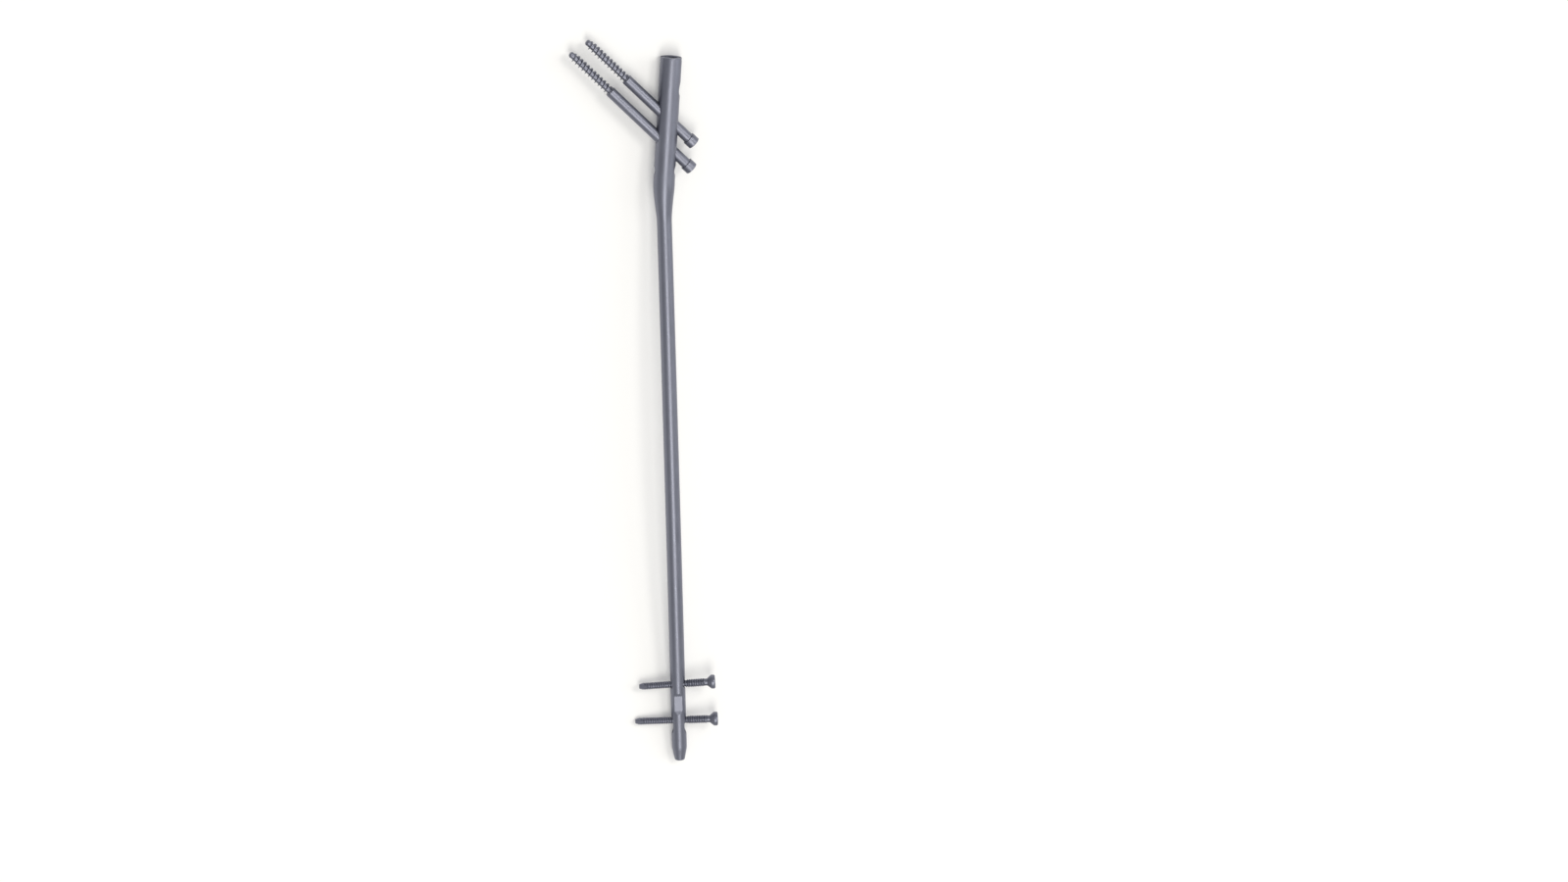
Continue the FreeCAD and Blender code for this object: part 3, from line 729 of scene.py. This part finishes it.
class NAIL_OT_nail(bpy.types.Operator):
    """Model the nail with its bores, holes, slot and milled flat"""

    bl_idname = "nail.nail"
    bl_label = "Nail"

    def execute(self, context):
        sizes = context.scene.nail_sizes
        finish = context.scene.nail_finish
        axis = Axis(sizes)
        nail = turned("nail_body", straight_nail(sizes, axis), sizes.sides)
        follow(nail, axis)
        cut(nail, bore(sizes, axis))
        self.cut_top(nail, sizes)
        self.cut_holes(nail, sizes, axis)
        self.cut_flat(nail, sizes, axis)
        material = titanium("titanium_nail", finish.nail, finish.gloss, 5200, 0.02 * MM)
        finished(nail, axis.resting(), material, body_of_node("nail"), "nail")
        return {"FINISHED"}

    def cut_top(self, nail, sizes):
        """Taps the top bore and cuts the key slot across the top face."""
        inner, outer = sizes.cap_bore / 2 - 0.1 * MM, sizes.cap_bore / 2 + 0.45 * MM
        crest, root = 0.15 * MM, 1.1 * MM
        profile = tooth(inner, outer, crest, root, sizes.cap_pitch)
        low, high = MM - sizes.cap_depth, -0.3 * MM
        cut(nail, thread_rod("Tap", profile, sizes.cap_pitch, low, high, 64))
        half = sizes.key_width / 2
        reach = sizes.head
        corners = [(-reach, -half), (reach, -half), (reach, half), (-reach, half)]
        cut(nail, prism("Key", corners, -sizes.key_depth, CUT_PAST))

    def cut_holes(self, nail, sizes, axis):
        """Drills every cross hole and mills the slot, each with rounded mouths."""
        head, shaft = sizes.head / 2, sizes.shaft / 2
        lock, slot, hip = sizes.lock_hole / 2, sizes.slot_width / 2, sizes.hip_hole / 2
        upper = sizes.total - sizes.lock_upper
        lower = sizes.total - sizes.lock_lower
        countersink = (sizes.lock_mouth - sizes.lock_hole) / 2
        holes = [
            (axis.oblique(), sizes.oblique_level, head, lock, sizes.mouth, 0),
            (axis.transverse(), sizes.transverse_level, head, lock, sizes.mouth, 0),
            (axis.upper_lock(), upper, shaft, lock, countersink, 0),
            (axis.lower_lock(), lower, shaft, slot, sizes.mouth, sizes.slot_travel),
        ]
        for level in axis.hip_levels():
            holes.append((axis.hip(level), level, head, hip, sizes.mouth, 0))
        for hole, level, nail_radius, *rest in holes:
            cut(nail, hole_cutter(hole, axis.at(level), nail_radius, *rest))

    def cut_flat(self, nail, sizes, axis):
        """Mills the flat on the front, with a run-out at each end."""
        floor = sizes.shaft / 2 - sizes.flat_depth
        half = sizes.flat_length / 2
        lift = sizes.flat_depth + MM
        reach = half + lift / math.tan(sizes.flat_ramp)
        corners = [(-half, floor), (half, floor), (reach, floor + lift), (-reach, floor + lift)]
        piece = prism("Flat", corners, -sizes.shaft, sizes.shaft)
        to_front = Matrix(((0, 0, 1, 0), (0, -1, 0, 0), (1, 0, 0, 0), (0, 0, 0, 1)))
        cut(nail, placed(piece, axis.from_tip(sizes.flat_level) @ to_front))


class NAIL_OT_hip_screws(bpy.types.Operator):
    """Model both hip screws with their coarse threads"""

    bl_idname = "nail.hip_screws"
    bl_label = "Hip screws"

    def execute(self, context):
        sizes = context.scene.hip_screw_sizes
        finish = context.scene.nail_finish
        axis = Axis(context.scene.nail_sizes)
        upper, lower = axis.hip_levels()
        material = titanium("titanium_hip_screw", finish.screw, finish.gloss, 5200, 0.015 * MM)
        for node, level, under, seat in (
            ("recon_screw_upper", upper, sizes.upper, sizes.upper_seat),
            ("recon_screw_lower", lower, sizes.lower, sizes.lower_seat),
        ):
            screw = self.screw(sizes, under, seat)
            screw.name = node + "_threaded"
            place = axis.resting() @ axis.hip(level)
            finished(screw, place, material, body_of_node(node), node)
        return {"FINISHED"}

    def screw(self, sizes, under, seat):
        """One hip screw along Z, the nail's axis at its origin."""
        head, shank, edge = sizes.head / 2, sizes.shank / 2, sizes.edge
        back = -seat - sizes.head_length
        tip = under - seat
        shank_end = tip - sizes.threaded
        under_edge, throat = 0.15 * MM, 0.1 * MM
        rings = arc((head - edge, back + edge), edge, -math.pi / 2, 0, 6)
        rings += arc((head - under_edge, -seat - under_edge), under_edge, 0, math.pi / 2, 5)
        rings += [(shank + throat, -seat), (shank, -seat + throat)]
        rings += arc((shank - edge, shank_end - edge), edge, 0, math.pi / 2, 6)
        screw = turned("HipScrew", rings, sizes.sides)
        profile = tooth(sizes.core / 2, sizes.thread / 2, sizes.crest, sizes.root, sizes.pitch)
        root = shank_end - 0.3 * MM
        round_rings = [
            tip - sizes.tip_round * (1 - math.cos(step * math.pi / 14)) for step in range(1, 8)
        ]
        rod = thread_rod("HipThread", profile, sizes.pitch, root, tip, sizes.sides, round_rings)
        reshaped(rod, self.lead(sizes, tip))
        cut(screw, rod, "UNION")
        cut_socket(screw, sizes.socket, sizes.socket_depth, back, 1)
        return screw

    def lead(self, sizes, tip):
        """Lowers the teeth towards the tip and rounds the tip's end."""
        core = sizes.core / 2
        low = core + 0.1 * MM
        high = sizes.thread / 2
        bare = 0.9 * MM

        def radius_at(radius, height):
            left = tip - height
            share = min(max((left - bare) / (sizes.lead - bare), 0), 1)
            radius = min(radius, low + (high - low) * share)
            if left < sizes.tip_round:
                inside = sizes.tip_round - left
                curve = sizes.tip_round - math.sqrt(max(sizes.tip_round**2 - inside**2, 0))
                radius = min(radius, core - curve)
            return radius

        return radius_at


class NAIL_OT_locking_screws(bpy.types.Operator):
    """Model both locking screws with their threads and cutting flutes"""

    bl_idname = "nail.locking_screws"
    bl_label = "Locking screws"

    def execute(self, context):
        sizes = context.scene.lock_screw_sizes
        finish = context.scene.nail_finish
        axis = Axis(context.scene.nail_sizes)
        material = titanium("titanium_locking_screw", finish.screw, finish.gloss, 6200, 0.012 * MM)
        for node, place, reach, back in (
            ("distal_screw_upper", axis.upper_lock(), sizes.upper_reach, sizes.upper_back),
            ("distal_screw_lower", axis.lower_lock(), sizes.lower_reach, sizes.lower_back),
        ):
            screw = self.screw(sizes, reach, back)
            screw.name = node + "_threaded"
            finished(screw, axis.resting() @ place, material, body_of_node(node), node)
        return {"FINISHED"}

    def screw(self, sizes, reach, back):
        """One locking screw along Z, the nail's axis at its origin and its point below."""
        head, neck, full = sizes.head / 2, sizes.neck / 2, sizes.full / 2
        head_start = back - sizes.head_length
        neck_start = head_start - sizes.neck_length
        rings = [(neck - 0.3 * MM, neck_start - MM), (neck, neck_start - MM)]
        rings += [(neck, head_start - 0.2 * MM), (neck + 0.15 * MM, head_start)]
        bend = sizes.head_round
        slant = math.atan2(head - neck, sizes.cone)
        shift = bend * math.tan(slant / 2)
        side = head_start + sizes.cone + shift
        rings += arc((head - bend, side), bend, -slant, 0, 4)
        rings += arc((head - bend, back - bend), bend, 0, math.pi / 2, 6)
        screw = turned("LockScrew", rings, sizes.sides)
        rod = self.rod(sizes, reach, neck_start)
        cut(screw, rod, "UNION")
        floor, width = sizes.flute_floor, sizes.flute_width
        corners = [(floor, 0), (2 * full, 0), (2 * full, width), (floor, width)]
        for number in range(sizes.flutes):
            flute = prism("Flute", corners, -reach - CUT_PAST, -reach + sizes.flute)
            placed(flute, turn(ALONG, 2 * math.pi * number / sizes.flutes))
            cut(screw, flute)
        cut_socket(screw, sizes.socket, sizes.socket_depth, back, -1)
        return screw

    def rod(self, sizes, reach, neck_start):
        """The threaded stretch, in its two diameters and with its tapered tip."""
        full, slim, neck = sizes.full / 2, sizes.slim / 2, sizes.neck / 2
        crest, root = 0.26 * sizes.pitch, 0.96 * sizes.pitch
        profile = tooth(full - sizes.depth, full, crest, root, sizes.pitch)
        rod = thread_rod("LockThread", profile, sizes.pitch, -reach, neck_start, sizes.sides)
        tip_slope = (slim - sizes.tip_end / 2) / sizes.tip
        fade = 1.4 * sizes.tip
        least = 0.5 * MM

        def radius_at(radius, height):
            share = min(max((height - sizes.step_start) / sizes.step, 0), 1)
            outside = slim + (full - slim) * share
            from_tip = height + reach
            depth = sizes.depth * (0.85 + 0.15 * share)
            depth *= min(max(from_tip / fade, 0.25), 1)
            outside = min(outside, sizes.tip_end / 2 + from_tip * tip_slope)
            outside = min(outside, neck + max(neck_start - height, 0))
            into = (full - radius) / sizes.depth
            return max(outside - into * depth, least)

        reshaped(rod, radius_at)
        return rod


class NAIL_OT_stage(bpy.types.Operator):
    """Set the floor, the lights and the camera"""

    bl_idname = "nail.stage"
    bl_label = "Stage"

    def execute(self, context):
        settings = context.scene.nail_stage
        self.floor(settings)
        self.light(context)
        self.camera(context, settings)
        context.scene.view_settings.view_transform = "Standard"
        return {"FINISHED"}

    def floor(self, settings):
        """A pale floor that a camera or a reflection sees as white, with the object's shadow."""
        deselect()
        bpy.ops.mesh.primitive_plane_add(size=settings.floor, location=(0, 0, CAD_BOX[0].z))
        floor = bpy.context.object
        floor.name = "Floor"
        material = bpy.data.materials.new("pale_floor")
        material.use_nodes = True
        nodes, links = material.node_tree.nodes, material.node_tree.links
        shader = nodes["Principled BSDF"]
        shader.inputs["Base Color"].default_value = (0.8, 0.8, 0.8, 1)
        shader.inputs["Roughness"].default_value = 0.9
        shader.inputs["Specular IOR Level"].default_value = 0.1
        shader.inputs["Emission Color"].default_value = (1, 1, 1, 1)
        path = nodes.new("ShaderNodeLightPath")
        seen = nodes.new("ShaderNodeMath")
        seen.operation = "MAXIMUM"
        links.new(path.outputs["Is Camera Ray"], seen.inputs[0])
        links.new(path.outputs["Is Glossy Ray"], seen.inputs[1])
        strength = nodes.new("ShaderNodeMath")
        strength.operation = "MULTIPLY"
        strength.inputs[1].default_value = 0.15
        links.new(seen.outputs["Value"], strength.inputs[0])
        links.new(strength.outputs["Value"], shader.inputs["Emission Strength"])
        floor.data.materials.append(material)

    def light(self, context):
        """Even light all round, and three softboxes: above, up the nail and to its outer side."""
        world = bpy.data.worlds.new("Studio")
        world.use_nodes = True
        background = world.node_tree.nodes["Background"]
        background.inputs["Color"].default_value = (1, 1, 1, 1)
        background.inputs["Strength"].default_value = 0.5
        context.scene.world = world
        middle = (CAD_BOX[0] + CAD_BOX[1]) / 2
        warm, white = (1, 0.975, 0.91), (1, 1, 1)
        for name, offset, width, length, power, colour in (
            ("Key", Vector((0, -3.6, 12)), 4.8, 9.5, 700, warm),
            ("Top", Vector((5, 5, 9.8)), 3.4, 3.4, 330, warm),
            ("Fill", Vector((9, 2, 5)), 6, 6, 190, white),
        ):
            lamp = bpy.data.lights.new(name, "AREA")
            lamp.shape = "RECTANGLE"
            lamp.size = width
            lamp.size_y = length
            lamp.energy = power
            lamp.color = colour
            item = bpy.data.objects.new(name, lamp)
            context.scene.collection.objects.link(item)
            item.location = middle + offset
            item.rotation_euler = offset.to_track_quat("Z", "Y").to_euler()

    def camera(self, context, settings):
        """Looks at the nail from its front, as far off as the pixel's size asks for."""
        resting = Axis(context.scene.nail_sizes).resting().to_3x3()
        turned_by = Matrix.Rotation(settings.view_turn, 3, ALONG)
        outer = resting @ turned_by @ ACROSS
        front = resting @ turned_by @ -BACK
        up_nail = resting @ ALONG
        towards = math.cos(settings.view_tilt) * front + math.sin(settings.view_tilt) * up_nail
        over = towards.cross(outer)
        right = math.cos(settings.lean) * outer + math.sin(settings.lean) * over
        up = towards.cross(right)
        shift = (PICTURE / 2 - NAIL_TOP_PIXEL) * settings.pixel
        target = right * shift.x - up * shift.y
        camera = bpy.data.cameras.new("Camera")
        camera.lens = settings.lens
        distance = PICTURE.x * settings.pixel * camera.lens / camera.sensor_width
        item = bpy.data.objects.new("Camera", camera)
        context.scene.collection.objects.link(item)
        spot = target + towards * distance
        view = Matrix((right, up, towards)).transposed().to_4x4()
        item.matrix_world = Matrix.Translation(spot) @ view
        context.scene.camera = item


OPERATORS = (NAIL_OT_nail, NAIL_OT_hip_screws, NAIL_OT_locking_screws, NAIL_OT_stage)


class NAIL_PT_panel(bpy.types.Panel):
    """Lists the sizes and the operators"""

    bl_idname = "NAIL_PT_panel"
    bl_label = "Reconstruction nail"
    bl_space_type = "VIEW_3D"
    bl_region_type = "UI"
    bl_category = "Nail"

    def draw(self, context):
        for operator in OPERATORS:
            self.layout.operator(operator.bl_idname)
        for name, group in SETTINGS.items():
            box = self.layout.box()
            box.label(text=group.__doc__)
            for item in group.__annotations__:
                box.prop(getattr(context.scene, name), item)


def register():
    """Registers the settings, the operators and the panel."""
    for group in SETTINGS.values():
        bpy.utils.register_class(group)
    for name, group in SETTINGS.items():
        setattr(bpy.types.Scene, name, bpy.props.PointerProperty(type=group))
    for item in (*OPERATORS, NAIL_PT_panel):
        bpy.utils.register_class(item)


def unregister():
    """Takes back what register does."""
    for item in (NAIL_PT_panel, *reversed(OPERATORS)):
        bpy.utils.unregister_class(item)
    for name in SETTINGS:
        delattr(bpy.types.Scene, name)
    for group in SETTINGS.values():
        bpy.utils.unregister_class(group)


def main():
    """Models the pieces and sets the stage."""
    register()
    bpy.ops.nail.nail()
    bpy.ops.nail.hip_screws()
    bpy.ops.nail.locking_screws()
    bpy.ops.nail.stage()


if __name__ == "__main__":
    main()
